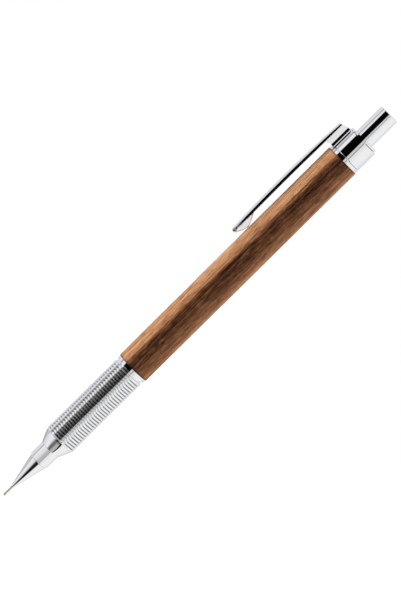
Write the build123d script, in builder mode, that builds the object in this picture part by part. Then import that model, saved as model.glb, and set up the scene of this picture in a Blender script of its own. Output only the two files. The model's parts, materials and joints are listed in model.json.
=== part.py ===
from build123d import *

import os

# Mechanical pencil for 0.5 mm lead, with a ribbed metal grip and a turned wooden barrel.
# It stands on its writing point: the origin is the end of the lead sleeve, on the axis, +Z runs
# along the axis to the push button, and the pocket clip is on the -X side. Sizes in millimetres.

# Heights of the visible joints between pieces, measured along the axis from the writing point
CONE_Z = 3.1
CONE_END_Z = 12.5
NOSE_Z = 12.75
NOSE_SHOULDER_Z = 16.9
GRIP_Z = 20.6
RIBS_END_Z = 45.45
FRONT_RING_Z = 46.1
WOOD_Z = 47.15
WOOD_END_Z = 123.05
REAR_RING_END_Z = 124.05
CAP_Z = 124.3
CAP_LIP_Z = 130.15
CAP_END_Z = 130.85
BUTTON_END_Z = 140.0

# Outside radii
SLEEVE_R = 0.4
CONE_FRONT_R = 0.5
CONE_REAR_R = 2.64
NOSE_R = 2.93
GRIP_R = 4.66
RING_R = 4.68
WOOD_R = 4.8
CAP_R = 4.7
BUTTON_R = 2.87

# Grooves round the grip. The lands between them are narrower than the plain bands at both ends.
GROOVES = 30
GROOVE_WIDTH = 0.5
GROOVE_DEPTH = 0.2
END_BAND_WIDTH = 0.43

# Lead and writing mechanism
LEAD_R = 0.28
LEAD_LENGTH = 60.0
LEAD_BORE_R = 0.30
PRESS = 3.0
RING_TRAVEL = 0.6
SPARE_LEADS = 3

# Fits, the small bevel on turned edges, and how far a cutting tool runs past what it cuts
SLIP = 0.05
SEAT = 0.02
EDGE_BREAK = 0.06
OVERSHOOT = 1.0


def half_section(*outline):
    """A closed outline of (radius, height) points, as a face ready to revolve about the axis."""
    with BuildSketch(Plane.XZ) as section:
        with BuildLine():
            Polyline(*outline, close=True)
        make_face()
    return section.sketch


def tube_section(outer_r, inner_r, bottom, top):
    """Half section of a plain tube."""
    return half_section((inner_r, bottom), (outer_r, bottom), (outer_r, top), (inner_r, top))


os.makedirs("parts", exist_ok=True)
pieces = []

# ---------------------------------------------------------------- writing end

SLEEVE_SEAT_Z = 6.8

with BuildPart() as lead_sleeve:
    revolve(tube_section(SLEEVE_R, LEAD_BORE_R, 0, SLEEVE_SEAT_Z), axis=Axis.Z)
lead_sleeve.part.label = "lead_sleeve"
pieces.append(lead_sleeve.part)

# The cone holds the sleeve in front, the rubber retainer behind it, then a room for the open
# chuck, and a wider room for the clutch ring. Its thread goes into the nose.
RETAINER_R = 0.95
RETAINER_END_Z = 9.0
CHUCK_ROOM_R = 1.5
CHUCK_ROOM_Z = 9.6
CLUTCH_R = 1.85
CLUTCH_Z = 13.2
CLUTCH_END_Z = 15.5
CLUTCH_ROOM_Z = CLUTCH_Z - RING_TRAVEL - SEAT
CONE_THREAD_R = 2.4
CONE_THREAD_END_Z = 15.6
CONE_SEAM_R = 2.5

with BuildPart() as tip_cone:
    revolve(
        half_section(
            (SLEEVE_R, CONE_Z),
            (CONE_FRONT_R, CONE_Z),
            (CONE_REAR_R, CONE_END_Z),
            (CONE_SEAM_R, CONE_END_Z),
            (CONE_SEAM_R, NOSE_Z),
            (CONE_THREAD_R, NOSE_Z),
            (CONE_THREAD_R, CONE_THREAD_END_Z),
            (CLUTCH_R + SLIP, CONE_THREAD_END_Z),
            (CLUTCH_R + SLIP, CLUTCH_ROOM_Z),
            (CHUCK_ROOM_R, CLUTCH_ROOM_Z),
            (CHUCK_ROOM_R, CHUCK_ROOM_Z),
            (RETAINER_R, CHUCK_ROOM_Z),
            (RETAINER_R, SLEEVE_SEAT_Z),
            (SLEEVE_R, SLEEVE_SEAT_Z),
        ),
        axis=Axis.Z,
    )
tip_cone.part.label = "tip_cone"
pieces.append(tip_cone.part)

RETAINER_LIP = 0.35

with BuildPart() as lead_retainer:
    revolve(tube_section(RETAINER_R, LEAD_BORE_R, SLEEVE_SEAT_Z, RETAINER_END_Z), axis=Axis.Z)
    mouth = lead_retainer.edges().filter_by(GeomType.CIRCLE).group_by(Axis.Z)[-1].sort_by(SortBy.RADIUS)[0]
    chamfer(mouth, RETAINER_LIP)
lead_retainer.part.label = "lead_retainer"
pieces.append(lead_retainer.part)

# ---------------------------------------------------------------- nose and grip

NOSE_FLARE_R = 4.5
NOSE_FLARE_SAG = 0.12
GRIP_SEAM_R = 4.2
GRIP_SEAM = 0.1
NOSE_BORE_R = CONE_THREAD_R + SEAT
NOSE_THREAD_R = 3.9
NOSE_THREAD_END_Z = 26.0

with BuildPart() as nose_cone:
    with BuildSketch(Plane.XZ):
        with BuildLine():
            Polyline(
                (GRIP_SEAM_R, GRIP_Z - GRIP_SEAM),
                (GRIP_SEAM_R, GRIP_Z),
                (NOSE_THREAD_R, GRIP_Z),
                (NOSE_THREAD_R, NOSE_THREAD_END_Z),
                (NOSE_BORE_R, NOSE_THREAD_END_Z),
                (NOSE_BORE_R, NOSE_Z),
                (NOSE_R - EDGE_BREAK, NOSE_Z),
                (NOSE_R, NOSE_Z + EDGE_BREAK),
                (NOSE_R, NOSE_SHOULDER_Z),
            )
            SagittaArc(
                (NOSE_R, NOSE_SHOULDER_Z),
                (NOSE_FLARE_R, GRIP_Z - GRIP_SEAM),
                NOSE_FLARE_SAG,
            )
            Line((NOSE_FLARE_R, GRIP_Z - GRIP_SEAM), (GRIP_SEAM_R, GRIP_Z - GRIP_SEAM))
        make_face()
    revolve(axis=Axis.Z)
nose_cone.part.label = "nose_cone"
pieces.append(nose_cone.part)

GRIP_BORE_R = 3.4
GRIP_NECK_R = 4.25
COUPLER_THREAD_R = 3.88
COUPLER_Z = 38.0
FIRST_GROOVE_Z = GRIP_Z + END_BAND_WIDTH
GROOVE_PITCH = (RIBS_END_Z - END_BAND_WIDTH - GROOVE_WIDTH - FIRST_GROOVE_Z) / (GROOVES - 1)

with BuildPart() as grip:
    revolve(
        half_section(
            (NOSE_THREAD_R, GRIP_Z),
            (GRIP_R, GRIP_Z),
            (GRIP_R, RIBS_END_Z),
            (GRIP_NECK_R, RIBS_END_Z),
            (GRIP_NECK_R, FRONT_RING_Z),
            (COUPLER_THREAD_R, FRONT_RING_Z),
            (COUPLER_THREAD_R, COUPLER_Z),
            (GRIP_BORE_R, COUPLER_Z),
            (GRIP_BORE_R, NOSE_THREAD_END_Z),
            (NOSE_THREAD_R, NOSE_THREAD_END_Z),
        ),
        axis=Axis.Z,
    )
    for groove in range(GROOVES):
        groove_z = FIRST_GROOVE_Z + groove * GROOVE_PITCH
        revolve(
            tube_section(GRIP_R + OVERSHOOT, GRIP_R - GROOVE_DEPTH, groove_z, groove_z + GROOVE_WIDTH),
            axis=Axis.Z,
            mode=Mode.SUBTRACT,
        )
grip.part.label = "grip"
pieces.append(grip.part)

with BuildPart() as front_ring:
    revolve(tube_section(RING_R, COUPLER_THREAD_R, FRONT_RING_Z, WOOD_Z), axis=Axis.Z)
    outer_rims = front_ring.edges().filter_by(GeomType.CIRCLE).sort_by(SortBy.RADIUS)[-2:]
    chamfer(outer_rims, EDGE_BREAK)
front_ring.part.label = "front_ring"
pieces.append(front_ring.part)

# ---------------------------------------------------------------- barrel

LINER_R = 3.7
LINER_BORE_R = 3.35
COUPLER_BORE_R = 2.45
COUPLER_END_Z = 54.0

with BuildPart() as front_coupler:
    revolve(
        half_section(
            (COUPLER_BORE_R, COUPLER_Z),
            (COUPLER_THREAD_R, COUPLER_Z),
            (COUPLER_THREAD_R, WOOD_Z),
            (LINER_BORE_R, WOOD_Z),
            (LINER_BORE_R, COUPLER_END_Z),
            (COUPLER_BORE_R, COUPLER_END_Z),
        ),
        axis=Axis.Z,
    )
front_coupler.part.label = "front_coupler"
pieces.append(front_coupler.part)

with BuildPart() as barrel_liner:
    revolve(tube_section(LINER_R, LINER_BORE_R, WOOD_Z, WOOD_END_Z), axis=Axis.Z)
barrel_liner.part.label = "barrel_liner"
pieces.append(barrel_liner.part)

WOOD_EDGE = 0.12

with BuildPart() as wood_barrel:
    revolve(tube_section(WOOD_R, LINER_R, WOOD_Z, WOOD_END_Z), axis=Axis.Z)
    wood_rims = wood_barrel.edges().filter_by(GeomType.CIRCLE).sort_by(SortBy.RADIUS)[-2:]
    fillet(wood_rims, WOOD_EDGE)
wood_barrel.part.label = "wood_barrel"
pieces.append(wood_barrel.part)

# ---------------------------------------------------------------- rear end

TANK_R = 2.1
TANK_BORE_R = 1.6
REAR_COUPLER_Z = 116.0
TANK_GUIDE_END_Z = 119.5
BUTTON_BORE_R = BUTTON_R + SLIP
REAR_THREAD_R = 3.6
REAR_COUPLER_END_Z = 128.5

with BuildPart() as rear_coupler:
    revolve(
        half_section(
            (TANK_R + SLIP, REAR_COUPLER_Z),
            (LINER_BORE_R, REAR_COUPLER_Z),
            (LINER_BORE_R, WOOD_END_Z),
            (REAR_THREAD_R, WOOD_END_Z),
            (REAR_THREAD_R, REAR_COUPLER_END_Z),
            (BUTTON_BORE_R, REAR_COUPLER_END_Z),
            (BUTTON_BORE_R, TANK_GUIDE_END_Z),
            (TANK_R + SLIP, TANK_GUIDE_END_Z),
        ),
        axis=Axis.Z,
    )
rear_coupler.part.label = "rear_coupler"
pieces.append(rear_coupler.part)

with BuildPart() as rear_ring:
    revolve(tube_section(RING_R, REAR_THREAD_R, WOOD_END_Z, REAR_RING_END_Z), axis=Axis.Z)
    ring_rims = rear_ring.edges().filter_by(GeomType.CIRCLE).sort_by(SortBy.RADIUS)[-2:]
    chamfer(ring_rims, EDGE_BREAK)
rear_ring.part.label = "rear_ring"
pieces.append(rear_ring.part)

# The cap screws over the rear coupler, guides the push button, and has a slot for the clip's tang.
CAP_NECK_R = 4.3
CAP_LIP_R = 4.37
CAP_TOP_R = 4.25
CAP_LIP = 0.2
SLOT_WIDTH = 2.4
SLOT_Z = 125.3
SLOT_END_Z = 129.0
SLOT_FLOOR_X = 3.72

with BuildPart() as cap_collar:
    revolve(
        half_section(
            (REAR_THREAD_R, REAR_RING_END_Z),
            (CAP_NECK_R, REAR_RING_END_Z),
            (CAP_NECK_R, CAP_Z),
            (CAP_R - EDGE_BREAK, CAP_Z),
            (CAP_R, CAP_Z + EDGE_BREAK),
            (CAP_R, CAP_LIP_Z),
            (CAP_LIP_R, CAP_LIP_Z + CAP_LIP),
            (CAP_TOP_R, CAP_END_Z),
            (BUTTON_BORE_R, CAP_END_Z),
            (BUTTON_BORE_R, REAR_COUPLER_END_Z + SEAT),
            (REAR_THREAD_R, REAR_COUPLER_END_Z + SEAT),
        ),
        axis=Axis.Z,
    )
    with BuildSketch(Plane.YZ.offset(-SLOT_FLOOR_X)):
        with Locations((0, (SLOT_Z + SLOT_END_Z) / 2)):
            Rectangle(SLOT_WIDTH, SLOT_END_Z - SLOT_Z)
    extrude(amount=-(CAP_R - SLOT_FLOOR_X + OVERSHOOT), mode=Mode.SUBTRACT)
cap_collar.part.label = "cap_collar"
pieces.append(cap_collar.part)

# ---------------------------------------------------------------- pocket clip

# The arm is drawn through three crowned sections. Each gives its height, its width, and the
# distance from the pencil's axis to its underside, its side edges and its crown.
CLIP_TIP_Z = 90.2
CLIP_MIDDLE_Z = 108.5
CLIP_TOP_Z = 130.1
CLIP_TIP_WIDTH = 3.4
CLIP_WIDTH = 5.2
CLIP_CROWN_X = 8.0
CLIP_SECTIONS = (
    (CLIP_TIP_Z, CLIP_TIP_WIDTH, 6.5, 7.05, 7.55),
    (CLIP_MIDDLE_Z, (CLIP_TIP_WIDTH + CLIP_WIDTH) / 2, 6.7, 7.37, CLIP_CROWN_X),
    (CLIP_TOP_Z, CLIP_WIDTH, 6.45, 6.9, 7.4),
)

# Root against the cap, foot on the barrel, and the tang in the cap's slot
CLIP_UNDER_X = 6.6
CLIP_ROOT_Z = 123.9
CLIP_TOP_SLANT = 0.9
NECK_X = 4.95
NECK_WIDTH = 4.1
FOOT_X = WOOD_R + SLIP
FOOT_Z = 93.3
FOOT_END_Z = 95.35
FOOT_FRONT_Z = 90.9
FOOT_REAR_Z = 97.4
FOOT_WIDTH = 2.4
TANG_WIDTH = 2.0
TANG_X = 3.9
TANG_Z = 125.6
TANG_END_Z = 128.8

with BuildPart() as clip:
    for section_z, width, under_x, edge_x, crown_x in CLIP_SECTIONS:
        with BuildSketch(Plane.XY.offset(section_z)):
            with BuildLine():
                Polyline(
                    (-edge_x, width / 2),
                    (-under_x, width / 2),
                    (-under_x, -width / 2),
                    (-edge_x, -width / 2),
                )
                ThreePointArc((-edge_x, -width / 2), (-crown_x, 0), (-edge_x, width / 2))
            make_face()
    loft()
    # rounded tip, in plan view
    with BuildSketch(Plane.YZ):
        with BuildLine():
            Polyline(
                (-CLIP_TIP_WIDTH / 2, CLIP_TIP_Z + CLIP_TIP_WIDTH / 2),
                (-CLIP_WIDTH, CLIP_MIDDLE_Z),
                (-CLIP_WIDTH, CLIP_TOP_Z),
                (CLIP_WIDTH, CLIP_TOP_Z),
                (CLIP_WIDTH, CLIP_MIDDLE_Z),
                (CLIP_TIP_WIDTH / 2, CLIP_TIP_Z + CLIP_TIP_WIDTH / 2),
            )
            ThreePointArc(
                (CLIP_TIP_WIDTH / 2, CLIP_TIP_Z + CLIP_TIP_WIDTH / 2),
                (0, CLIP_TIP_Z),
                (-CLIP_TIP_WIDTH / 2, CLIP_TIP_Z + CLIP_TIP_WIDTH / 2),
            )
        make_face()
    extrude(amount=-2 * CLIP_CROWN_X, mode=Mode.INTERSECT)
    # root: its sides draw in from the arm to a neck, then run straight to the cap
    with BuildSketch(Plane.XY.offset(CLIP_ROOT_Z)):
        with BuildLine():
            Polyline(
                (-CLIP_UNDER_X, CLIP_WIDTH / 2),
                (-NECK_X, NECK_WIDTH / 2),
                (-TANG_X, NECK_WIDTH / 2),
                (-TANG_X, -NECK_WIDTH / 2),
                (-NECK_X, -NECK_WIDTH / 2),
                (-CLIP_UNDER_X, -CLIP_WIDTH / 2),
                close=True,
            )
        make_face()
    extrude(amount=CLIP_TOP_Z - CLIP_ROOT_Z)
    # the top end slants down towards the crown
    with BuildSketch(Plane.XZ):
        with BuildLine():
            Polyline(
                (-NECK_X, CLIP_TOP_Z),
                (-CLIP_CROWN_X, CLIP_TOP_Z - CLIP_TOP_SLANT),
                (-CLIP_CROWN_X, CLIP_TOP_Z + OVERSHOOT),
                (-NECK_X, CLIP_TOP_Z + OVERSHOOT),
                close=True,
            )
        make_face()
    extrude(amount=CLIP_WIDTH, both=True, mode=Mode.SUBTRACT)
    # the root's inner end is hollowed to stand just off the cap
    with BuildSketch(Plane.XY.offset(CLIP_ROOT_Z)):
        Circle(CAP_R + SLIP)
    extrude(amount=CLIP_TOP_Z - CLIP_ROOT_Z, mode=Mode.SUBTRACT)
    with BuildSketch(Plane.XZ):
        with BuildLine():
            Polyline(
                (-CLIP_UNDER_X, FOOT_FRONT_Z),
                (-FOOT_X, FOOT_Z),
                (-FOOT_X, FOOT_END_Z),
                (-CLIP_UNDER_X, FOOT_REAR_Z),
                close=True,
            )
        make_face()
    extrude(amount=FOOT_WIDTH / 2, both=True)
    with BuildSketch(Plane.YZ.offset(-TANG_X)):
        with Locations((0, (TANG_Z + TANG_END_Z) / 2)):
            Rectangle(TANG_WIDTH, TANG_END_Z - TANG_Z)
    extrude(amount=TANG_X - CLIP_UNDER_X)
clip.part.label = "clip"
pieces.append(clip.part)

# ---------------------------------------------------------------- chuck and its housing

# The housing screws into the nose behind the cone. Its front wall guides the chuck and carries
# the spring, and its front face is the clutch ring's rear stop. Its rear end leaves the lead
# tank, which starts behind the connector's flange, room to come forward with the button.
CONNECTOR_FLANGE_END_Z = 32.2
PRESS_ROOM = 0.7
HOUSING_Z = CONE_THREAD_END_Z + SLIP
HOUSING_WALL_END_Z = 17.4
HOUSING_THREAD_END_Z = 22.0
HOUSING_R = 2.2
HOUSING_BORE_R = 1.75
HOUSING_END_Z = CONNECTOR_FLANGE_END_Z - PRESS - PRESS_ROOM
CHUCK_SHANK_R = 0.95

with BuildPart() as chuck_housing:
    revolve(
        half_section(
            (CHUCK_SHANK_R + SLIP, HOUSING_Z),
            (CONE_THREAD_R, HOUSING_Z),
            (CONE_THREAD_R, HOUSING_THREAD_END_Z),
            (HOUSING_R, HOUSING_THREAD_END_Z),
            (HOUSING_R, HOUSING_END_Z),
            (HOUSING_BORE_R, HOUSING_END_Z),
            (HOUSING_BORE_R, HOUSING_WALL_END_Z),
            (CHUCK_SHANK_R + SLIP, HOUSING_WALL_END_Z),
        ),
        axis=Axis.Z,
    )
chuck_housing.part.label = "chuck_housing"
pieces.append(chuck_housing.part)

# Three jaws, split from a long shank by slots that let them spring open ahead of the ring
CHUCK_Z = 13.25
CHUCK_HEAD_R = 1.38
CHUCK_HEEL_R = 1.08
CHUCK_BORE_R = 0.32
CHUCK_END_Z = 30.0
JAWS = 3
JAW_SLOT = 0.2
JAW_SLOT_END_Z = 23.0

with BuildPart() as chuck:
    revolve(
        half_section(
            (CHUCK_BORE_R, CHUCK_Z),
            (CHUCK_HEAD_R - 2 * JAW_SLOT, CHUCK_Z),
            (CHUCK_HEAD_R, CHUCK_Z + JAW_SLOT),
            (CHUCK_HEEL_R, CLUTCH_END_Z - SLIP),
            (CHUCK_SHANK_R, CLUTCH_END_Z),
            (CHUCK_SHANK_R, CHUCK_END_Z),
            (CHUCK_BORE_R, CHUCK_END_Z),
        ),
        axis=Axis.Z,
    )
    with BuildSketch(Plane.XY.offset(CHUCK_Z)):
        with PolarLocations(CHUCK_HEAD_R / 2, JAWS):
            Rectangle(CHUCK_HEAD_R, JAW_SLOT)
    extrude(amount=JAW_SLOT_END_Z - CHUCK_Z, mode=Mode.SUBTRACT)
chuck.part.label = "chuck"
pieces.append(chuck.part)

with BuildPart() as clutch_ring:
    revolve(
        half_section(
            (CHUCK_HEAD_R + SLIP, CLUTCH_Z),
            (CLUTCH_R, CLUTCH_Z),
            (CLUTCH_R, CLUTCH_END_Z),
            (CHUCK_HEEL_R + SLIP, CLUTCH_END_Z),
        ),
        axis=Axis.Z,
    )
clutch_ring.part.label = "clutch_ring"
pieces.append(clutch_ring.part)

CONNECTOR_Z = 27.2
CONNECTOR_R = HOUSING_BORE_R - 2 * SLIP
CONNECTOR_END_Z = 35.0
FUNNEL_R = 1.3
FUNNEL_THROAT_R = 0.4

with BuildPart() as connector:
    revolve(
        half_section(
            (CHUCK_SHANK_R, CONNECTOR_Z),
            (CONNECTOR_R, CONNECTOR_Z),
            (CONNECTOR_R, CONNECTOR_FLANGE_END_Z),
            (TANK_BORE_R - SEAT, CONNECTOR_FLANGE_END_Z),
            (TANK_BORE_R - SEAT, CONNECTOR_END_Z),
            (FUNNEL_R, CONNECTOR_END_Z),
            (FUNNEL_THROAT_R, CONNECTOR_FLANGE_END_Z),
            (FUNNEL_THROAT_R, CHUCK_END_Z),
            (CHUCK_SHANK_R, CHUCK_END_Z),
        ),
        axis=Axis.Z,
    )
connector.part.label = "connector"
pieces.append(connector.part)

SPRING_WIRE_R = 0.15
SPRING_R = 1.4
SPRING_TURNS = 10
SPRING_Z = HOUSING_WALL_END_Z + SPRING_WIRE_R + SLIP
SPRING_END_Z = CONNECTOR_Z - SPRING_WIRE_R - SLIP

with BuildPart() as chuck_spring:
    with BuildLine():
        coil = Helix(
            pitch=(SPRING_END_Z - SPRING_Z) / SPRING_TURNS,
            height=SPRING_END_Z - SPRING_Z,
            radius=SPRING_R,
            center=(0, 0, SPRING_Z),
        )
    with BuildSketch(Plane(origin=coil @ 0, z_dir=coil % 0)):
        Circle(SPRING_WIRE_R)
    sweep(is_frenet=True)
chuck_spring.part.label = "chuck_spring"
pieces.append(chuck_spring.part)

# ---------------------------------------------------------------- lead tank, eraser and button

TANK_END_Z = 131.0
TANK_BAND_R = 2.35
TANK_BAND_Z = 128.0
TANK_BAND_END_Z = 130.0

with BuildPart() as lead_tank:
    revolve(tube_section(TANK_R, TANK_BORE_R, CONNECTOR_FLANGE_END_Z, TANK_END_Z), axis=Axis.Z)
    revolve(tube_section(TANK_BAND_R, TANK_R, TANK_BAND_Z, TANK_BAND_END_Z), axis=Axis.Z)
lead_tank.part.label = "lead_tank"
pieces.append(lead_tank.part)

HOLDER_PLUG_Z = 127.0
HOLDER_R = 2.2
HOLDER_FLOOR_END_Z = 131.6
HOLDER_END_Z = 134.0
ERASER_R = 1.93
ERASER_END_Z = 137.8
ERASER_EDGE = 0.25

with BuildPart() as eraser_holder:
    revolve(
        half_section(
            (0, HOLDER_PLUG_Z),
            (TANK_BORE_R - SEAT, HOLDER_PLUG_Z),
            (TANK_BORE_R - SEAT, TANK_END_Z),
            (HOLDER_R, TANK_END_Z),
            (HOLDER_R, HOLDER_END_Z),
            (ERASER_R, HOLDER_END_Z),
            (ERASER_R, HOLDER_FLOOR_END_Z),
            (0, HOLDER_FLOOR_END_Z),
        ),
        axis=Axis.Z,
    )
eraser_holder.part.label = "eraser_holder"
pieces.append(eraser_holder.part)

with BuildPart() as eraser:
    with BuildSketch(Plane.XY.offset(HOLDER_FLOOR_END_Z)):
        Circle(ERASER_R)
    extrude(amount=ERASER_END_Z - HOLDER_FLOOR_END_Z)
    fillet(eraser.edges().group_by(Axis.Z)[-1], ERASER_EDGE)
eraser.part.label = "eraser"
pieces.append(eraser.part)

# Just below the cap's mouth the button narrows to a skirt that grips the tank's band
BUTTON_Z = 126.5
SKIRT_R = 2.65
SKIRT_DEPTH = 0.15
SKIRT_END_Z = CAP_END_Z - SKIRT_DEPTH
BUTTON_INSIDE_R = TANK_BAND_R + SLIP
BUTTON_INSIDE_END_Z = 138.6
BUTTON_EDGE = 0.5

with BuildPart() as push_button:
    with BuildSketch(Plane.XY.offset(SKIRT_END_Z)):
        Circle(BUTTON_R)
    extrude(amount=BUTTON_END_Z - SKIRT_END_Z)
    fillet(push_button.edges().group_by(Axis.Z)[-1], BUTTON_EDGE)
    revolve(tube_section(SKIRT_R, BUTTON_INSIDE_R, BUTTON_Z, SKIRT_END_Z), axis=Axis.Z)
    with BuildSketch(Plane.XY.offset(BUTTON_Z)):
        Circle(BUTTON_INSIDE_R)
    extrude(amount=BUTTON_INSIDE_END_Z - BUTTON_Z, mode=Mode.SUBTRACT)
push_button.part.label = "push_button"
pieces.append(push_button.part)

# ---------------------------------------------------------------- leads

LEAD_Z = 0.1
SPARE_Z = 36.0
SPARE_RING_R = 1.0

with BuildPart() as lead:
    with BuildSketch(Plane.XY.offset(LEAD_Z)):
        Circle(LEAD_R)
    extrude(amount=LEAD_LENGTH)
lead.part.label = "lead"
pieces.append(lead.part)

with BuildPart() as spare_leads:
    with BuildSketch(Plane.XY.offset(SPARE_Z)):
        with PolarLocations(SPARE_RING_R, SPARE_LEADS):
            Circle(LEAD_R)
    extrude(amount=LEAD_LENGTH)
spare_leads.part.label = "spare_leads"
pieces.append(spare_leads.part)

for piece in pieces:
    export_step(piece, f"parts/{piece.label}.step")
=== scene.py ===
import json
import math

import bpy
from mathutils import Matrix, Vector


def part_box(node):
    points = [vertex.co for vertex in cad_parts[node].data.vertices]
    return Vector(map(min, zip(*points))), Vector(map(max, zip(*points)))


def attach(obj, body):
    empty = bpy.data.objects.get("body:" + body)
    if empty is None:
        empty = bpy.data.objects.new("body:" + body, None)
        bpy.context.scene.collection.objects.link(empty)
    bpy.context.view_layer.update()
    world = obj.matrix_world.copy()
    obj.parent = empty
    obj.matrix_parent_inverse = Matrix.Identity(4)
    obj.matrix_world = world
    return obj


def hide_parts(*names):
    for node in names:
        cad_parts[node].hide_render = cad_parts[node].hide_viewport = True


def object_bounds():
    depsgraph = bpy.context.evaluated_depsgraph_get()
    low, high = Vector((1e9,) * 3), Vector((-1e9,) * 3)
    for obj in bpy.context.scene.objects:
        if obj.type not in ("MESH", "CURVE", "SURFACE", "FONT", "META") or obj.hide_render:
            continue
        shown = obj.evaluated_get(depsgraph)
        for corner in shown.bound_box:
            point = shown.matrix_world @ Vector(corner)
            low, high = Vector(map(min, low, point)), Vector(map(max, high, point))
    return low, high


# Mechanical pencil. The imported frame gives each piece's ends and outside radius. This script adds
# the shape between them, the materials, the studio and the camera.
# Shapes are in millimetres from the writing point, with the pencil's axis along z and the clip
# towards -x. finish_piece() scales them to metres.

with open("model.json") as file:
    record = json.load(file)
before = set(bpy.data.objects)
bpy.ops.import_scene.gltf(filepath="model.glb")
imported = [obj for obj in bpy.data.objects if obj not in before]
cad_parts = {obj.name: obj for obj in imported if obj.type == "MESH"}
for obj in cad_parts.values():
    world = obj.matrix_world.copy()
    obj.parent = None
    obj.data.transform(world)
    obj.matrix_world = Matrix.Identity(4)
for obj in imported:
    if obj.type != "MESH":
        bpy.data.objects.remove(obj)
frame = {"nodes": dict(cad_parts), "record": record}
cad_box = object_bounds()

MM = 0.001
SEGMENTS = 192
ARC_STEPS = 5
SHARP_ANGLE = math.radians(38)

BOXES = {node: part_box(node) for node in frame["nodes"]}


def bottom(node):
    return BOXES[node][0].z / MM


def top(node):
    return BOXES[node][1].z / MM


def radius(node):
    """Half the piece's width, which is the outside radius of a round piece."""
    return BOXES[node][1].y / MM


# ------------------------------------------------------------------ outlines and solids


def rounded(outline):
    """Turn (across, along, radius) corners into points, with an arc at each corner that has a radius."""
    points = []
    for index, corner in enumerate(outline):
        here = Vector(corner[:2])
        if len(corner) == 2:
            points.append(here)
            continue
        to_last = Vector(outline[index - 1][:2]) - here
        to_next = Vector(outline[(index + 1) % len(outline)][:2]) - here
        half_angle = to_last.angle(to_next) / 2
        reach = corner[2] / math.tan(half_angle)
        start = here + to_last.normalized() * reach
        end = here + to_next.normalized() * reach
        inward = (to_last.normalized() + to_next.normalized()).normalized()
        centre = here + inward * reach / math.cos(half_angle)
        for step in range(ARC_STEPS + 1):
            spoke = start.lerp(end, step / ARC_STEPS) - centre
            points.append(centre + spoke.normalized() * (start - centre).length)
    return points


def arc(start, end, sagitta, steps=24):
    """Points of a shallow arc between two points, without its ends.

    Its middle stands off the chord by the sagitta, to the left of the way from start to end.
    """
    start, end = Vector(start), Vector(end)
    chord = end - start
    off = Vector((-chord.y, chord.x)).normalized() * sagitta
    return [
        tuple(start + chord * step / steps + off * 4 * (step / steps) * (1 - step / steps))
        for step in range(1, steps)
    ]


def shared_normal(own, other):
    """The normal of an outline's edge at a corner it shares with another. Long edges count for more."""
    return (own + other).normalized() if own.angle(other) < SHARP_ANGLE else own.normalized()


def lathe(outline):
    """A closed solid of revolution about the pencil's axis, from an outline of (radius, height) corners.

    Returns its vertices, its faces, and the exact normal of each face corner.
    """
    points = rounded(outline)
    turns = [2 * math.pi * segment / SEGMENTS for segment in range(SEGMENTS)]
    spokes = [Vector((math.cos(turn), math.sin(turn), 0)) for turn in turns]
    vertices, rings = [], []
    for across, along in points:
        ring = [spoke * across + Vector((0, 0, along)) for spoke in (spokes if across else spokes[:1])]
        rings.append(range(len(vertices), len(vertices) + len(ring)))
        vertices += ring

    following = points[1:] + points[:1]
    outward = [Vector((end.y - start.y, start.x - end.x)) for start, end in zip(points, following)]
    faces, normals = [], []
    for index, edge in enumerate(outward):
        after = (index + 1) % len(points)
        low, high = rings[index], rings[after]
        if len(low) == 1 and len(high) == 1:
            continue
        low_across, low_along = shared_normal(edge, outward[index - 1])
        high_across, high_along = shared_normal(edge, outward[after])
        low_normals = [spoke * low_across + Vector((0, 0, low_along)) for spoke in spokes]
        high_normals = [spoke * high_across + Vector((0, 0, high_along)) for spoke in spokes]
        for here in range(SEGMENTS):
            there = (here + 1) % SEGMENTS
            corners = {
                low[here % len(low)]: low_normals[here],
                low[there % len(low)]: low_normals[there],
                high[there % len(high)]: high_normals[there],
                high[here % len(high)]: high_normals[here],
            }
            faces.append(tuple(corners))
            normals += corners.values()
    return vertices, faces, normals


def loft(sections):
    """A closed solid through sections that all have the same number of points."""
    count = len(sections[0])
    vertices = [point for section in sections for point in section]
    faces = [tuple(range(count)), tuple(range(len(vertices) - 1, len(vertices) - count - 1, -1))]
    for ring in range(0, len(vertices) - count, count):
        for index in range(count):
            after = (index + 1) % count
            faces.append((ring + after, ring + index, ring + count + index, ring + count + after))
    return vertices, faces, None


def finish_piece(node, shape, crease=SHARP_ANGLE):
    """Give a solid the material and body of the CAD node it stands for, and hide the node."""
    vertices, faces, normals = shape
    name = node + "_finished"
    data = bpy.data.meshes.new(name)
    data.from_pydata([Vector(place) * MM for place in vertices], [], faces, shade_flat=False)
    if normals:
        data.normals_split_custom_set(normals)
    else:
        data.set_sharp_from_angle(angle=crease)
    data.materials.append(MATERIALS[SLOT_OF[node]])
    piece = bpy.data.objects.new(name, data)
    bpy.context.scene.collection.objects.link(piece)
    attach(piece, BODY_OF[node])
    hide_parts(node)


# ------------------------------------------------------------------ shader graphs


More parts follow.
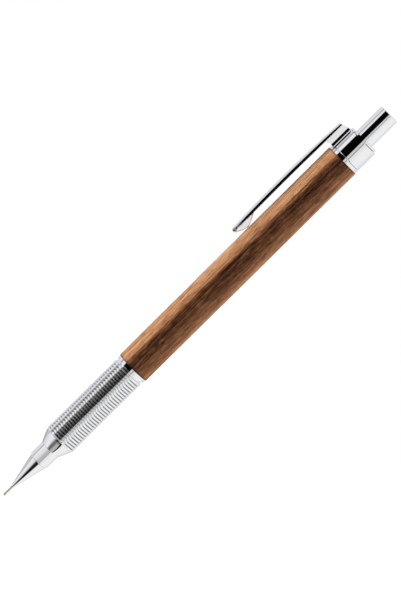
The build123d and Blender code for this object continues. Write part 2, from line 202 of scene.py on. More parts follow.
class Graph:
    """Short names for building a node tree. An input is a value or another node's socket."""

    def __init__(self, tree):
        self.tree = tree
        tree.nodes.clear()

    def add(self, kind, inputs=None, **settings):
        made = self.tree.nodes.new("ShaderNode" + kind)
        for name, value in settings.items():
            setattr(made, name, value)
        for key, value in (inputs or {}).items():
            if isinstance(value, bpy.types.NodeSocket):
                self.tree.links.new(value, made.inputs[key])
            else:
                made.inputs[key].default_value = value
        return made

    def maths(self, operation, *values):
        return self.add("Math", dict(enumerate(values)), operation=operation).outputs[0]

    def plus(self, *values):
        total = values[0]
        for value in values[1:]:
            total = self.maths("ADD", total, value)
        return total

    def times(self, *values):
        product = values[0]
        for value in values[1:]:
            product = self.maths("MULTIPLY", product, value)
        return product

    def fade(self, value, start, end, low=0.0, high=1.0):
        """Goes smoothly from low to high as value goes from start to end."""
        inputs = {0: value, 1: start, 2: end, 3: low, 4: high}
        return self.add("MapRange", inputs, interpolation_type="SMOOTHSTEP").outputs[0]

    def mix(self, factor, first, second):
        """Blend two colours."""
        return self.add("Mix", {0: factor, 6: first, 7: second}, data_type="RGBA").outputs[2]

    def blend(self, factor, first, second):
        """Blend two numbers."""
        return self.add("Mix", {0: factor, 2: first, 3: second}, data_type="FLOAT").outputs[0]

    def position(self, across=1.0, along=1.0):
        """Place on the piece in mm, scaled across and along the pencil's axis."""
        place = self.add("TexCoord").outputs["Object"]
        scale = (across / MM, across / MM, along / MM)
        return self.add("VectorMath", {0: place, 1: scale}, operation="MULTIPLY").outputs[0]

    def noise(self, vector, scale=1.0, detail=2.0, roughness=0.5, distortion=0.0):
        inputs = {
            "Vector": vector,
            "Scale": scale,
            "Detail": detail,
            "Roughness": roughness,
            "Distortion": distortion,
        }
        return self.add("TexNoise", inputs).outputs[0]

    def ramp(self, value, stops):
        made = self.add("ValToRGB", {0: value})
        points = made.color_ramp.elements
        while len(points) < len(stops):
            points.new(0.5)
        for point, (place, colour) in zip(points, stops):
            point.position = place
            point.color = (*colour, 1)
        return made.outputs[0]

    def bump(self, height, distance_mm, strength=1.0):
        inputs = {"Height": height, "Distance": distance_mm * MM, "Strength": strength}
        return self.add("Bump", inputs).outputs[0]

    def surface(self, **inputs):
        """Principled surface as the material's output."""
        named = {name.replace("_", " "): value for name, value in inputs.items()}
        shader = self.add("BsdfPrincipled", named)
        self.tree.links.new(shader.outputs[0], self.add("OutputMaterial").inputs[0])


def material_graph(name):
    material = bpy.data.materials.new(name)
    material.use_nodes = True
    return material, Graph(material.node_tree)


def between(graph, value, low, high, soft):
    """1 where value lies between low and high, with soft edges."""
    rising = graph.fade(value, low - soft / 2, low + soft / 2)
    falling = graph.fade(value, high + soft / 2, high - soft / 2)
    return graph.times(rising, falling)


# ------------------------------------------------------------------ materials


def polished_steel():
    """Mirror plating with faint polishing lines, finger haze, and corners rubbed duller."""
    material, graph = material_graph("polished_steel")
    haze = graph.noise(graph.position(0.35, 0.2), detail=3.0)
    lines = graph.noise(graph.position(0.15, 9.0), detail=2.0)
    corners = graph.fade(graph.add("NewGeometry").outputs["Pointiness"], 0.52, 0.6)
    roughness = graph.plus(0.02, graph.fade(haze, 0.45, 0.8, 0.0, 0.035), graph.times(corners, 0.06))
    graph.surface(
        Base_Color=graph.mix(haze, (0.93, 0.935, 0.95, 1), (0.965, 0.965, 0.97, 1)),
        Metallic=1.0,
        Roughness=roughness,
        Normal=graph.bump(lines, 0.0002, 0.5),
    )
    return material


def brass():
    """Turned brass: tool lines round the axis, a little uneven tarnish."""
    material, graph = material_graph("brass")
    tarnish = graph.noise(graph.position(0.6, 0.3), detail=4.0)
    lines = graph.noise(graph.position(0.2, 14.0), detail=3.0)
    colour = graph.mix(graph.fade(tarnish, 0.35, 0.75), (0.95, 0.88, 0.74, 1), (0.84, 0.74, 0.56, 1))
    graph.surface(
        Base_Color=colour,
        Metallic=1.0,
        Roughness=graph.fade(tarnish, 0.3, 0.8, 0.22, 0.42),
        Normal=graph.bump(lines, 0.004),
    )
    return material


def spring_steel():
    """Drawn wire: dull grey with fine lengthwise scoring."""
    material, graph = material_graph("spring_steel")
    scoring = graph.noise(graph.position(8.0, 8.0), detail=3.0)
    graph.surface(
        Base_Color=graph.mix(scoring, (0.42, 0.43, 0.45, 1), (0.68, 0.69, 0.7, 1)),
        Metallic=1.0,
        Roughness=graph.fade(scoring, 0.3, 0.7, 0.25, 0.45),
        Normal=graph.bump(scoring, 0.004),
    )
    return material


def walnut_tone_with_painted_shade(graph, turned):
    """Tone of the wood round the barrel, in degrees: pale sapwood by the clip and dark heartwood in front,
    with painted shade on top: lighter on the sides where light falls, darker in front.
    """
    stops = (
        (-180, 0.60),
        (-100, 0.80),
        (-62, 0.86),
        (-42, 0.82),
        (-29, 0.76),
        (-23, 0.62),
        (-16, 0.40),
        (-8, 0.31),
        (6, 0.31),
        (20, 0.42),
        (36, 0.52),
        (52, 0.62),
        (70, 0.70),
        (120, 0.60),
        (180, 0.60),
    )
    share = graph.add("MapRange", {0: turned, 1: -180, 2: 180}).outputs[0]
    return graph.ramp(share, [((angle + 180) / 360, (tone, tone, tone)) for angle, tone in stops])


def growth_line(graph, across, along, level, width):
    """Thin long lines, nearly parallel to the axis, where a slow noise passes a level."""
    drift = graph.noise(graph.position(across, along), detail=2.0, roughness=0.4)
    return graph.fade(graph.maths("ABSOLUTE", graph.plus(drift, -level)), width, 0.0)


def walnut():
    """Oiled walnut turned from one stick, with long grain lines, streaks, fibres, pores, darker ends, and
    painted shade round the barrel.
    """
    material, graph = material_graph("walnut")
    x, y, z = graph.add("SeparateXYZ", {0: graph.position()}).outputs
    turn = graph.times(graph.maths("ARCTAN2", x, graph.times(y, -1.0)), 180 / math.pi)

    # the whole pattern sways a few degrees round the barrel along its length
    sway = graph.plus(graph.noise(graph.position(0.0, 0.05), detail=3.0), -0.5)
    turned = graph.plus(turn, graph.times(sway, 16.0))
    # painted shade: the tone round the barrel is lighter on the lit sides and darker in front, on top of
    # the sapwood and heartwood
    tone_with_painted_shade = walnut_tone_with_painted_shade(graph, turned)
    heart = between(graph, turned, -26, 14, 16)
    lines = growth_line(graph, 0.55, 0.012, 0.5, 0.03)
    second_lines = growth_line(graph, 0.9, 0.02, 0.46, 0.025)
    streaks = graph.noise(graph.position(1.2, 0.05), detail=3.0, roughness=0.6)
    fibres = graph.noise(graph.position(2.1, 0.3), detail=3.0, roughness=0.7)
    pores = graph.fade(graph.noise(graph.position(2.6, 0.5), detail=2.0), 0.58, 0.66)
    coarse = graph.blend(heart, 0.55, 0.85)
    tone = graph.plus(
        tone_with_painted_shade,
        graph.times(lines, graph.blend(heart, -0.1, -0.22)),
        graph.times(second_lines, graph.blend(heart, -0.06, -0.16)),
        graph.times(graph.plus(streaks, -0.5), coarse),
        graph.times(graph.plus(fibres, -0.5), coarse, 1.3),
        graph.times(pores, -0.14),
    )
    wood_bottom, wood_top = bottom("wood_barrel"), top("wood_barrel")
    ends = graph.plus(
        graph.fade(z, wood_bottom + 0.7, wood_bottom, 0.0, 0.22),
        graph.fade(z, wood_top - 0.5, wood_top, 0.0, 0.18),
    )
    colour = graph.ramp(
        graph.maths("SUBTRACT", tone, ends),
        (
            (0.0, (0.012, 0.003, 0.001)),
            (0.2, (0.060, 0.019, 0.006)),
            (0.4, (0.125, 0.047, 0.018)),
            (0.6, (0.25, 0.105, 0.043)),
            (0.8, (0.45, 0.21, 0.095)),
            (1.0, (0.66, 0.36, 0.19)),
        ),
    )
    graph.surface(
        Base_Color=colour,
        Roughness=graph.fade(fibres, 0.3, 0.7, 0.42, 0.56),
        Specular_IOR_Level=0.1,
        Normal=graph.bump(graph.plus(graph.times(fibres, 0.4), graph.times(pores, -1.0)), 0.02),
    )
    return material


def tank_plastic():
    """Milky moulded plastic with a soft grain and slight flow marks."""
    material, graph = material_graph("tank_plastic")
    grain = graph.noise(graph.position(6.0, 6.0), detail=2.0)
    flow = graph.noise(graph.position(0.4, 0.06), detail=3.0)
    graph.surface(
        Base_Color=graph.mix(flow, (0.70, 0.72, 0.74, 1), (0.84, 0.85, 0.86, 1)),
        Roughness=graph.fade(grain, 0.3, 0.7, 0.28, 0.4),
        Subsurface_Weight=0.25,
        Subsurface_Radius=(0.001, 0.001, 0.001),
        Subsurface_Scale=0.6,
        Normal=graph.bump(grain, 0.006),
    )
    return material


def eraser_rubber():
    """Chalky white rubber with fine pitting and a few grey smudges of lead."""
    material, graph = material_graph("eraser_rubber")
    pitting = graph.noise(graph.position(9.0, 9.0), detail=4.0, roughness=0.7)
    smudge = graph.fade(graph.noise(graph.position(0.9, 0.9), detail=4.0), 0.56, 0.72)
    graph.surface(
        Base_Color=graph.mix(
            graph.times(smudge, 0.35), (0.88, 0.87, 0.84, 1), (0.42, 0.42, 0.43, 1)
        ),
        Roughness=graph.fade(pitting, 0.3, 0.7, 0.7, 0.92),
        Normal=graph.bump(pitting, 0.03),
    )
    return material


def retainer_rubber():
    """Matte black rubber."""
    material, graph = material_graph("retainer_rubber")
    grain = graph.noise(graph.position(10.0, 10.0), detail=3.0)
    graph.surface(
        Base_Color=graph.mix(grain, (0.02, 0.02, 0.02, 1), (0.05, 0.05, 0.05, 1)),
        Roughness=graph.fade(grain, 0.3, 0.7, 0.6, 0.8),
        Normal=graph.bump(grain, 0.01),
    )
    return material


def graphite():
    """Extruded lead: dark grey with a dull sheen and faint lines along its length."""
    material, graph = material_graph("graphite")
    lines = graph.noise(graph.position(14.0, 0.5), detail=3.0)
    graph.surface(
        Base_Color=graph.mix(lines, (0.055, 0.055, 0.06, 1), (0.12, 0.12, 0.13, 1)),
        Metallic=0.35,
        Roughness=graph.fade(lines, 0.3, 0.7, 0.38, 0.55),
        Normal=graph.bump(lines, 0.004),
    )
    return material


MATERIALS = {
    "polished_steel": polished_steel(),
    "brass": brass(),
    "spring_steel": spring_steel(),
    "walnut": walnut(),
    "tank_plastic": tank_plastic(),
    "eraser_rubber": eraser_rubber(),
    "retainer_rubber": retainer_rubber(),
    "graphite": graphite(),
}
SLOT_OF = {part["node"]: part["material_slot"] for part in frame["record"]["subparts"]}
BODIES = frame["record"]["behaviour"]["bodies"]
BODY_OF = {node: body for body, nodes in BODIES.items() for node in nodes}


def dress_cad_nodes():
    """Inner parts keep their CAD shape and take the same materials."""
    for node, cad_object in frame["nodes"].items():
        cad_object.data.materials.clear()
        cad_object.data.materials.append(MATERIALS[SLOT_OF[node]])


# ------------------------------------------------------------------ writing end

# Edge rounding where nothing else is given, and radii that two pieces share
EDGE = 0.05
LEAD_BORE_R = 0.3
NOSE_THREAD_R = 3.9
COUPLER_THREAD_R = 3.88
REAR_THREAD_R = 3.6


def lead_sleeve():
    """A thin tube with softened front edges."""
    outer, low, high = radius("lead_sleeve"), bottom("lead_sleeve"), top("lead_sleeve")
    lip = 0.03
    return lathe(
        [(LEAD_BORE_R, low, lip), (outer, low, lip), (outer, high), (LEAD_BORE_R, high)]
    )


def lead():
    """The lead in use, worn to a slight dome."""
    outer, low, high = radius("lead"), bottom("lead"), top("lead")
    worn = 0.12
    return lathe([(0, low), (outer, low, worn), (outer, high), (0, high)])


def tip_cone():
    """A cone, a narrow seam behind it, a thread in the nose, and a bore that widens in steps."""
    low, thread_end = bottom("tip_cone"), top("tip_cone")
    front, front_rounding = 0.5, 0.03
    rear, cone_end = radius("tip_cone"), 12.5
    seam, nose = 2.5, bottom("nose_cone")
    thread = 2.4
    clutch_room, clutch_floor = 1.9, 12.58
    chuck_room, chuck_floor = 1.5, 9.6
    retainer, sleeve_seat = 0.95, 6.8
    sleeve = radius("lead_sleeve")
    return lathe(
        [
            (sleeve, low),
            (front, low, front_rounding),
            (rear, cone_end, EDGE),
            (seam, cone_end),
            (seam, nose),
            (thread, nose),
            (thread, thread_end),
            (clutch_room, thread_end),
            (clutch_room, clutch_floor),
            (chuck_room, clutch_floor),
            (chuck_room, chuck_floor),
            (retainer, chuck_floor),
            (retainer, sleeve_seat),
            (sleeve, sleeve_seat),
        ]
    )


def nose_cone():
    """A short cylinder, a slightly swollen flare up to the grip's seam, and the thread in the grip."""
    low, thread_end = bottom("nose_cone"), top("nose_cone")
    collar, shoulder = 2.93, 16.9
    seam, seam_height = 4.2, 0.1
    grip_start = bottom("grip")
    flare, flare_end = radius("nose_cone"), grip_start - seam_height
    flare_sagitta, flare_rounding = -0.12, 0.04
    bore = 2.42
    return lathe(
        [
            (bore, low),
            (collar, low, EDGE),
            (collar, shoulder),
            *arc((collar, shoulder), (flare, flare_end), flare_sagitta),
            (flare, flare_end, flare_rounding),
            (seam, flare_end),
            (seam, grip_start),
            (NOSE_THREAD_R, grip_start),
            (NOSE_THREAD_R, thread_end),
            (bore, thread_end),
        ]
    )


# ------------------------------------------------------------------ grip

GROOVES = 30
GROOVE_WIDTH = 0.5
GROOVE_DEPTH = 0.2
END_BAND_WIDTH = 0.43
LAND_EDGE = 0.03
GROOVE_ROUNDING = 0.04


def grip():
    """V grooves with slightly rounded floors, between narrow lands with softened edges."""
    low, high, outer = bottom("grip"), top("grip"), radius("grip")
    ribs_end, neck, neck_rounding = 45.45, 4.25, 0.1
    bore, nose_thread_end, coupler_start = 3.4, 26.0, 38.0
    floor = outer - GROOVE_DEPTH
    first_groove = low + END_BAND_WIDTH
    pitch = (ribs_end - END_BAND_WIDTH - GROOVE_WIDTH - first_groove) / (GROOVES - 1)
    outline = [(NOSE_THREAD_R, low), (outer, low, LAND_EDGE)]
    for groove in range(GROOVES):
        start = first_groove + groove * pitch
        outline += [
            (outer, start, LAND_EDGE),
            (floor, start + GROOVE_WIDTH / 2, GROOVE_ROUNDING),
            (outer, start + GROOVE_WIDTH, LAND_EDGE),
        ]
    outline += [
        (outer, ribs_end, LAND_EDGE),
        (neck, ribs_end, neck_rounding),
        (neck, high),
        (COUPLER_THREAD_R, high),
        (COUPLER_THREAD_R, coupler_start),
        (bore, coupler_start),
        (bore, nose_thread_end),
        (NOSE_THREAD_R, nose_thread_end),
    ]
    return lathe(outline)


FRONT_RING_TAPER = 0.02


def ring(node, bore, taper=0.0):
    """A plain ring with softened outer edges, a little narrower at its rear end if tapered."""
    outer, low, high = radius(node), bottom(node), top(node)
    return lathe([(bore, low), (outer, low, EDGE), (outer - taper, high, EDGE), (bore, high)])


# ------------------------------------------------------------------ barrel


def wood_barrel():
    """A turned tube with rounded ends."""
    outer, low, high = radius("wood_barrel"), bottom("wood_barrel"), top("wood_barrel")
    bore, edge = 3.7, 0.12
    return lathe([(bore, low), (outer, low, edge), (outer, high, edge), (bore, high)])


# ------------------------------------------------------------------ cap and button


def cap_collar():
    """A band between a bevelled seam and a flat bevelled lip, with the push button's guide inside."""
    low, high, outer = bottom("cap_collar"), top("cap_collar"), radius("cap_collar")
    seam_depth, seam_height = 0.15, 0.25
    lip, lip_height, mouth = 130.15, 0.2, 4.2
    band_edge = 0.03
    guide, thread_end = 2.92, 128.52
    return lathe(
        [
            (REAR_THREAD_R, low),
            (outer - seam_depth, low),
            (outer, low + seam_height, band_edge),
            (outer, lip, band_edge),
            (mouth, lip + lip_height),
            (mouth, high, EDGE),
            (guide, high, EDGE),
            (guide, thread_end),
            (REAR_THREAD_R, thread_end),
        ]
    )


def push_button():
    """A long cap with a bevelled crown, narrowing to a skirt just below the cap's mouth."""
    low, high, outer = bottom("push_button"), top("push_button"), radius("push_button")
    skirt, skirt_top = 2.65, top("cap_collar") - 0.15
    inside, inside_end = 2.4, 138.6
    crown_drop, crown_inset, crown_rounding = 0.14, 0.4, 0.1
    return lathe(
        [
            (inside, low),
            (skirt, low),
            (skirt, skirt_top),
            (outer, skirt_top),
            (outer, high - crown_drop, EDGE),
            (outer - crown_inset, high, crown_rounding),
            (0, high),
            (0, inside_end),
            (inside, inside_end),
        ]
    )


def lead_tank():
    """A long tube with a raised band that the push button's skirt grips."""
    low, high = bottom("lead_tank"), top("lead_tank")
    outer, bore = 2.1, 1.6
    band, band_start, band_end = radius("lead_tank"), 128.0, 130.0
    return lathe(
        [
            (bore, low),
            (outer, low, EDGE),
            (outer, band_start),
            (band, band_start, EDGE),
            (band, band_end, EDGE),
            (outer, band_end),
            (outer, high, EDGE),
            (bore, high),
        ]
    )


def eraser_holder():
    """A plug for the lead tank with a cup for the eraser."""
    low, high, outer = bottom("eraser_holder"), top("eraser_holder"), radius("eraser_holder")
    plug, plug_rounding = 1.58, 0.15
    cup, cup_floor = radius("eraser"), 131.6
    tank_end = top("lead_tank")
    return lathe(
        [
            (0, low),
            (plug, low, plug_rounding),
            (plug, tank_end),
            (outer, tank_end, EDGE),
            (outer, high, EDGE),
            (cup, high),
            (cup, cup_floor),
            (0, cup_floor),
        ]
    )


def eraser():
    """A short rod with a rounded end."""
    outer, low, high = radius("eraser"), bottom("eraser"), top("eraser")
    rounding = 0.25
    return lathe([(0, low), (outer, low), (outer, high, rounding), (0, high)])


# ------------------------------------------------------------------ pocket clip

CLIP_TIP_WIDTH = 3.4
CLIP_WIDTH = radius("clip") * 2
CLIP_MIDDLE = 108.5
CROWN_POINTS = 33
UNDER_POINTS = 49
SIDE_POINTS = 5
CLIP_CREASE = math.radians(13)

# Distances from the axis at the tip, middle and root: the face's side edges and the underside.
# The face's crown rises above its edges.
FACE_EDGE = (7.05, 7.42, 6.95)
FACE_RISE = (0.5, 0.58, 0.45)
UNDERSIDE = (6.4, 6.62, 6.35)
# Nearer the axis than this, the sides draw in
SIDE_STOP = 6.55

# Root: starts from the arm with a curve, draws in to a neck, ends just off the cap.
# Its top slants down from the neck to the face, by the whole slant at SLANT_END from the axis.
ROOT_BOTTOM = 123.9
ROOT_CURVE = 1.6
ROOT_SHOULDER = 6.7
NECK = 4.95
NECK_WIDTH = 4.1
ROOT_END = radius("cap_collar") + 0.05
TOP_SLANT = 0.9
SLANT_START = ROOT_BOTTOM + 0.6
SLANT_END = 7.6

# Foot: stands down from the arm to the barrel, with steep sides that draw in
FOOT_START = 93.9
FOOT_STOP = 94.2
FOOT_FRONT = 3.7
FOOT_BACK = 3.4
FOOT_FRONT_POWER = 1.4
FOOT_FLOOR_HALF = 1.05
FOOT_SIDE = 0.5
FOOT_ROUNDING = 4
FOOT_CLEARANCE = 0.05
FOOT_MARGIN = 0.4

# Numbers of sections along the clip, and the last two, which soften the top's edge: each is so
# far below the top and drawn in by such a share
TIP_STEPS = 15
ARM_STEPS = 60
CURVE_STEPS = 16
NECK_STEPS = 4
ROOT_STEPS = 30
TOP_SOFTENING = ((EDGE / 3, 0.008), (0, 0.03))


def along_clip(z, tip, middle, root):
    """A size that goes smoothly through its values at the clip's tip, middle and root."""
    start, end = bottom("clip"), top("clip")
    a = (z - CLIP_MIDDLE) * (z - end) / ((start - CLIP_MIDDLE) * (start - end))
    b = (z - start) * (z - end) / ((CLIP_MIDDLE - start) * (CLIP_MIDDLE - end))
    c = (z - start) * (z - CLIP_MIDDLE) / ((end - start) * (end - CLIP_MIDDLE))
    return a * tip + b * middle + c * root


def root_reach(z):
    """How near the axis the root comes at this height. Above its curve it reaches the cap."""
    rise = z - (ROOT_BOTTOM - ROOT_CURVE)
    if rise < 0:
        return ROOT_SHOULDER
    return ROOT_SHOULDER - ROOT_CURVE + math.sqrt(ROOT_CURVE**2 - min(rise, ROOT_CURVE) ** 2)


def side_half_width(x, half_width):
    """The clip's half width at a distance from the axis: full near its face, drawn in to the neck."""
    slope = (CLIP_WIDTH - NECK_WIDTH) / 2 / (SIDE_STOP - NECK)
    return half_width - max(SIDE_STOP - max(x, NECK), 0) * slope


def foot_height(z, y):
    """Share of the foot's full height at a place on the arm's underside."""
    front = max(FOOT_START - z, 0) / FOOT_FRONT
    back = max(z - FOOT_STOP, 0) / FOOT_BACK
    along = front**FOOT_FRONT_POWER + back
    across = max(abs(y) - FOOT_FLOOR_HALF, 0) / FOOT_SIDE
    return max(1 - (along**FOOT_ROUNDING + across**FOOT_ROUNDING) ** (1 / FOOT_ROUNDING), 0)


def arm_underside(z):
    """Distance of the arm's underside from the axis."""
    return along_clip(z, *UNDERSIDE)


def clip_section(z, inner=None, shrink=0.0):
    """The clip's outline at one height: crown, near side, underside, far side."""
    tip = bottom("clip")
    middle_width = (CLIP_TIP_WIDTH + CLIP_WIDTH) / 2
    half_width = along_clip(z, CLIP_TIP_WIDTH, middle_width, CLIP_WIDTH) / 2
    edge = along_clip(z, *FACE_EDGE)
    rise = along_clip(z, *FACE_RISE)
    from_tip = z - tip
    if from_tip < half_width:
        rounding = math.sqrt(half_width**2 - (half_width - from_tip) ** 2) / half_width
        half_width *= rounding
        rise *= rounding
    inner = arm_underside(z) if inner is None else inner
    shoulder = max(inner, SIDE_STOP)
    neck = max(inner, NECK)

    outline = []
    for index in range(CROWN_POINTS):
        share = 1 - 2 * index / (CROWN_POINTS - 1)
        outline.append((edge + rise * (1 - share**2), share * half_width))
    side = []
    for start, stop in ((edge, shoulder), (shoulder, neck), (neck, inner)):
        for step in range(1, SIDE_POINTS):
            x = start + (stop - start) * step / (SIDE_POINTS - 1)
            side.append((x, side_half_width(x, half_width)))
    foot_stands = inner - (radius("wood_barrel") + FOOT_CLEARANCE)
    underside = []
    inner_half = side[-1][1]
    for index in range(1, UNDER_POINTS - 1):
        y = inner_half * (1 - 2 * index / (UNDER_POINTS - 1))
        x = inner - foot_height(z, y) * foot_stands
        underside.append((max(x, math.sqrt(ROOT_END**2 - y**2)), y))
    outline += [(x, -y) for x, y in side]
    outline += [(x, -y) for x, y in underside]
    outline += list(reversed(side))

    middle = Vector((sum(x for x, y in outline), sum(y for x, y in outline))) / len(outline)
    points = []
    for x, y in outline:
        x, y = Vector((x, y)).lerp(middle, shrink)
        height = z
        if z > SLANT_START:
            lost = TOP_SLANT * max(x - NECK, 0) / (SLANT_END - NECK)
            height -= lost * (z - SLANT_START) / (top("clip") - SLANT_START)
        points.append((-x, y, height))
    return points


def clip():
    """Lofted from the rounded tip along the arm and its foot, round the root's curve, to the top."""
    tip, end = bottom("clip"), top("clip")
    tip_radius = CLIP_TIP_WIDTH / 2
    sections = []
    for step in range(1, TIP_STEPS):
        angle = math.radians(90 * step / TIP_STEPS)
        sections.append(clip_section(tip + tip_radius * (1 - math.cos(angle))))
    foot_end = FOOT_STOP + FOOT_BACK + FOOT_MARGIN
    curve_start = ROOT_BOTTOM - ROOT_CURVE
    for start, stop in ((tip + tip_radius, foot_end), (foot_end, curve_start)):
        for step in range(ARM_STEPS):
            sections.append(clip_section(start + (stop - start) * step / ARM_STEPS))
    for step in range(CURVE_STEPS + 1):
        z = curve_start + ROOT_CURVE * math.sin(math.radians(90 * step / CURVE_STEPS))
        sections.append(clip_section(z, min(root_reach(z), arm_underside(z))))
    neck_inner = math.sqrt(ROOT_END**2 - (NECK_WIDTH / 2) ** 2)
    reach = min(root_reach(ROOT_BOTTOM), arm_underside(ROOT_BOTTOM))
    for step in range(1, NECK_STEPS + 1):
        sections.append(clip_section(ROOT_BOTTOM, reach + (neck_inner - reach) * step / NECK_STEPS))
    for step in range(1, ROOT_STEPS + 1):
        z = ROOT_BOTTOM + (end - EDGE - ROOT_BOTTOM) * step / ROOT_STEPS
        sections.append(clip_section(z, neck_inner))
    for below_top, shrink in TOP_SOFTENING:
        sections.append(clip_section(end - below_top, neck_inner, shrink))
    return loft(sections)


# ------------------------------------------------------------------ studio


def tent(graph, azimuth):
    """Brightness of the white tent, by azimuth. 0 is the camera's side, -90 the clip's."""
    stops = (
        (-180, 0.79),
        (-140, 0.72),
        (-105, 0.78),
        (-65, 0.87),
        (-52, 0.80),
        (6, 0.66),
        (14, 0.62),
        (28, 0.76),
        (45, 0.84),
        (60, 0.89),
        (95, 0.89),
        (120, 0.82),
        (145, 0.71),
        (160, 0.73),
        (180, 0.79),
    )
    share = graph.add("MapRange", {0: azimuth, 1: -180, 2: 180}).outputs[0]
    return graph.ramp(share, [((turn + 180) / 360, (light, light, light)) for turn, light in stops])


def panel_gaps(graph, light, azimuth, elevation):
    """Soft falloff in front, and thin dark gaps between the tent's panels."""
    ahead = between(graph, azimuth, -14, 14, 34)
    falloff = graph.times(ahead, between(graph, elevation, -13, -5, 2), 0.32)
    light = graph.mix(falloff, light, (0, 0, 0, 1))

    # the gap on the clip's side leans away lower down
    lower = graph.maths("MINIMUM", graph.plus(elevation, 7.0), 0.0)
    leaning = graph.plus(azimuth, graph.times(lower, -1.1))
    left_gap = graph.times(between(graph, leaning, -91, -77, 7), graph.fade(elevation, -36, -26), 0.58)
    light = graph.mix(left_gap, light, (0.1, 0.1, 0.12, 1))
    behind = between(graph, azimuth, -165, -122, 14)
    low_gap = graph.times(behind, between(graph, elevation, -34, -13, 6), 0.42)
    light = graph.mix(low_gap, light, (0.06, 0.06, 0.06, 1))
    right_gap = graph.times(between(graph, azimuth, 18, 22, 1), graph.fade(elevation, -12, -10), 0.9)
    return graph.mix(right_gap, light, (0.02, 0.02, 0.02, 1))


def black_flags(graph, light, azimuth, elevation):
    """The black flag on the clip's side of the camera, its grey hem, and dark strips lower down.

    The grip's grooves show the low strips, after two reflections.
    """
    beside_camera = between(graph, azimuth, -53, 3.5, 3)
    flag = graph.times(beside_camera, between(graph, elevation, -5.05, 60, 0.3))
    light = graph.mix(flag, light, (0.0015, 0.0015, 0.0015, 1))
    hem = graph.times(beside_camera, between(graph, elevation, -6.92, -5.05, 0.2))
    light = graph.mix(hem, light, graph.fade(azimuth, -10, -48, 0.08, 0.26))
    low = between(graph, elevation, -26, -11, 2)
    light = graph.mix(graph.times(beside_camera, low), light, (0.003, 0.003, 0.003, 1))
    low_side = graph.times(between(graph, azimuth, -91, -71, 3), low)
    return graph.mix(low_side, light, (0.03, 0.03, 0.04, 1))


def overhead_panels(graph, light, x, y, z):
    """Dark panels overhead, open at the back, with two strips of light on the clip's side."""
    overhead = graph.times(graph.fade(z, 0.2, 0.3), graph.fade(y, 0.75, 0.67))
    right_panel = graph.times(overhead, graph.fade(x, 0.4, 0.52))
    light = graph.mix(right_panel, light, (0.12, 0.13, 0.16, 1))
    strips = graph.plus(between(graph, y, -0.1, 0.11, 0.05), between(graph, y, 0.33, 0.52, 0.05))
    beside_strips = graph.maths("SUBTRACT", 1.0, strips)
    left_panel = graph.times(overhead, graph.fade(x, -0.5, -0.52), beside_strips)
    light = graph.mix(left_panel, light, (0.012, 0.013, 0.016, 1))
    middle_panel = graph.times(overhead, between(graph, x, -0.52, 0.045, 0.03))
    return graph.mix(middle_panel, light, (0.002, 0.002, 0.002, 1))


def strip_below(graph, light, x, y, z):
    """A dark strip straight below."""
    below = graph.times(graph.fade(z, -0.8, -0.86), graph.fade(y, -0.26, -0.18))
    below = graph.times(below, between(graph, x, -0.42, 0.035, 0.03))
    return graph.mix(below, light, (0.004, 0.004, 0.004, 1))


def table_edge(graph, light, azimuth, elevation):
    """The dark table below, soft on the clip's side and sharp on the other, its near part lit."""
    sharp_edge = graph.plus(-10.9, graph.times(elevation, -1.27))
    past_edge = graph.maths("SUBTRACT", azimuth, sharp_edge)
    soft_side = graph.plus(azimuth, graph.times(graph.plus(elevation, 33.0), -0.8))
    table = graph.times(graph.fade(soft_side, -36, -6), graph.fade(past_edge, 1.0, -1.0))
    table = graph.times(table, graph.fade(elevation, -13, -18))
    lit_part = graph.times(graph.fade(elevation, -40, -46), graph.fade(past_edge, -14, -19))
    table_light = graph.times(lit_part, graph.plus(0.13, graph.fade(azimuth, -14, 26, 0.0, 0.35)))
    return graph.mix(table, light, graph.plus(table_light, 0.01))


def reflected_studio(graph, azimuth, elevation, x, y, z):
    """What polished metal sees: a white tent, and the dark things that shape the metal."""
    light = tent(graph, azimuth)
    light = panel_gaps(graph, light, azimuth, elevation)
    light = black_flags(graph, light, azimuth, elevation)
    light = overhead_panels(graph, light, x, y, z)
    light = table_edge(graph, light, azimuth, elevation)
    light = strip_below(graph, light, x, y, z)
    lavender = graph.fade(azimuth, -62, -80)
    tint = graph.mix(lavender, (1, 1, 1, 1), (0.975, 0.965, 1.02, 1))
    inputs = {0: 1.0, 6: light, 7: tint}
    return graph.add("Mix", inputs, data_type="RGBA", blend_type="MULTIPLY").outputs[2]


def build_studio():
    """The world is the studio.

    Metal sees its panels, wood and plastic a soft light mostly from the sides, the camera plain white.
    """
    world = bpy.data.worlds.new("studio")
    bpy.context.scene.world = world
    world.use_nodes = True
    world.cycles.sampling_method = "NONE"
    graph = Graph(world.node_tree)
    direction = graph.add("TexCoord").outputs["Generated"]
    x, y, z = graph.add("SeparateXYZ", {0: direction}).outputs
    azimuth = graph.times(graph.maths("ARCTAN2", x, graph.times(y, -1.0)), 180 / math.pi)
    elevation = graph.times(graph.maths("ARCSINE", z), 180 / math.pi)
    seen_by_metal = reflected_studio(graph, azimuth, elevation, x, y, z)

    from_clip_side = graph.fade(x, -0.45, -0.9, 0.0, 1.9)
    from_other_side = graph.fade(x, 0.4, 0.95, 0.0, 0.75)
    soft_light = graph.plus(0.5, from_clip_side, from_other_side)
    path = graph.add("LightPath").outputs
    colour = graph.mix(path["Is Glossy Ray"], soft_light, seen_by_metal)
    colour = graph.mix(path["Is Camera Ray"], colour, (1, 1, 1, 1))
    background = graph.add("Background", {"Color": colour, "Strength": 1.0})
    graph.tree.links.new(background.outputs[0], graph.add("OutputWorld").inputs[0])


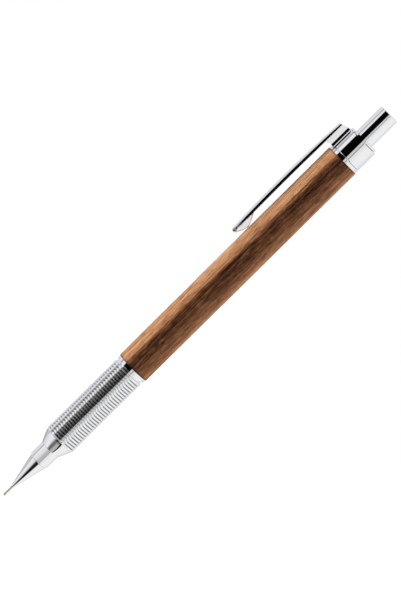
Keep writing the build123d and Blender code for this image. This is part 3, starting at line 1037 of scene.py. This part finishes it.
def build_floor():
    """A plain white floor, low enough for the lead to be fed out above it."""
    half_size, drop = 1.5, 0.009
    height = cad_box[0].z - drop
    corners = [
        (-half_size, -half_size, height),
        (half_size, -half_size, height),
        (half_size, half_size, height),
        (-half_size, half_size, height),
    ]
    data = bpy.data.meshes.new("floor")
    data.from_pydata(corners, [], [(0, 1, 2, 3)])
    floor = bpy.data.objects.new("floor", data)
    bpy.context.scene.collection.objects.link(floor)

    material, graph = material_graph("floor_paper")
    grain = graph.noise(graph.position(0.5, 0.5), detail=2.0)
    white = graph.mix(grain, (0.86, 0.86, 0.86, 1), (0.9, 0.9, 0.9, 1))
    paper = graph.add("BsdfDiffuse", {"Color": white})
    glow = graph.add("Emission", {"Color": (1, 1, 1, 1), "Strength": 0.6})
    lit = graph.add("AddShader", {0: paper.outputs[0], 1: glow.outputs[0]})
    graph.tree.links.new(lit.outputs[0], graph.add("OutputMaterial").inputs[0])
    data.materials.append(material)
    floor.visible_glossy = False


# ------------------------------------------------------------------ camera

AXIS_TILT = math.radians(44.665)
PICTURE_HEIGHT = 155.0
LOOK_AT = Vector((-0.055, 0, 71.77))
CAMERA_PLACE = Vector((-0.155, -860, 123))
SENSOR = 36.0


def build_camera():
    """Looks from slightly above the pencil's middle, rolled so that it writes towards the lower left."""
    camera = bpy.data.objects.new("camera", bpy.data.cameras.new("camera"))
    bpy.context.scene.collection.objects.link(camera)
    bpy.context.scene.camera = camera
    back = (CAMERA_PLACE - LOOK_AT).normalized()
    axis = Vector((0, 0, 1))
    axis = (axis - back * axis.dot(back)).normalized()
    across = axis.cross(back)
    right = across * math.sin(AXIS_TILT) + axis * math.cos(AXIS_TILT)
    up = axis * math.sin(AXIS_TILT) - across * math.cos(AXIS_TILT)
    turned = Matrix((right, up, back)).transposed().to_4x4()
    camera.matrix_world = Matrix.Translation(CAMERA_PLACE * MM) @ turned
    camera.data.sensor_width = SENSOR
    camera.data.lens = SENSOR * (CAMERA_PLACE - LOOK_AT).length / PICTURE_HEIGHT
    camera.data.clip_start = 0.01


dress_cad_nodes()
for node, shape in (
    ("lead_sleeve", lead_sleeve()),
    ("lead", lead()),
    ("tip_cone", tip_cone()),
    ("nose_cone", nose_cone()),
    ("grip", grip()),
    ("front_ring", ring("front_ring", COUPLER_THREAD_R, FRONT_RING_TAPER)),
    ("wood_barrel", wood_barrel()),
    ("rear_ring", ring("rear_ring", REAR_THREAD_R)),
    ("cap_collar", cap_collar()),
    ("push_button", push_button()),
    ("lead_tank", lead_tank()),
    ("eraser_holder", eraser_holder()),
    ("eraser", eraser()),
):
    finish_piece(node, shape)
finish_piece("clip", clip(), CLIP_CREASE)
build_studio()
build_floor()
build_camera()
bpy.context.scene.view_settings.view_transform = "Standard"
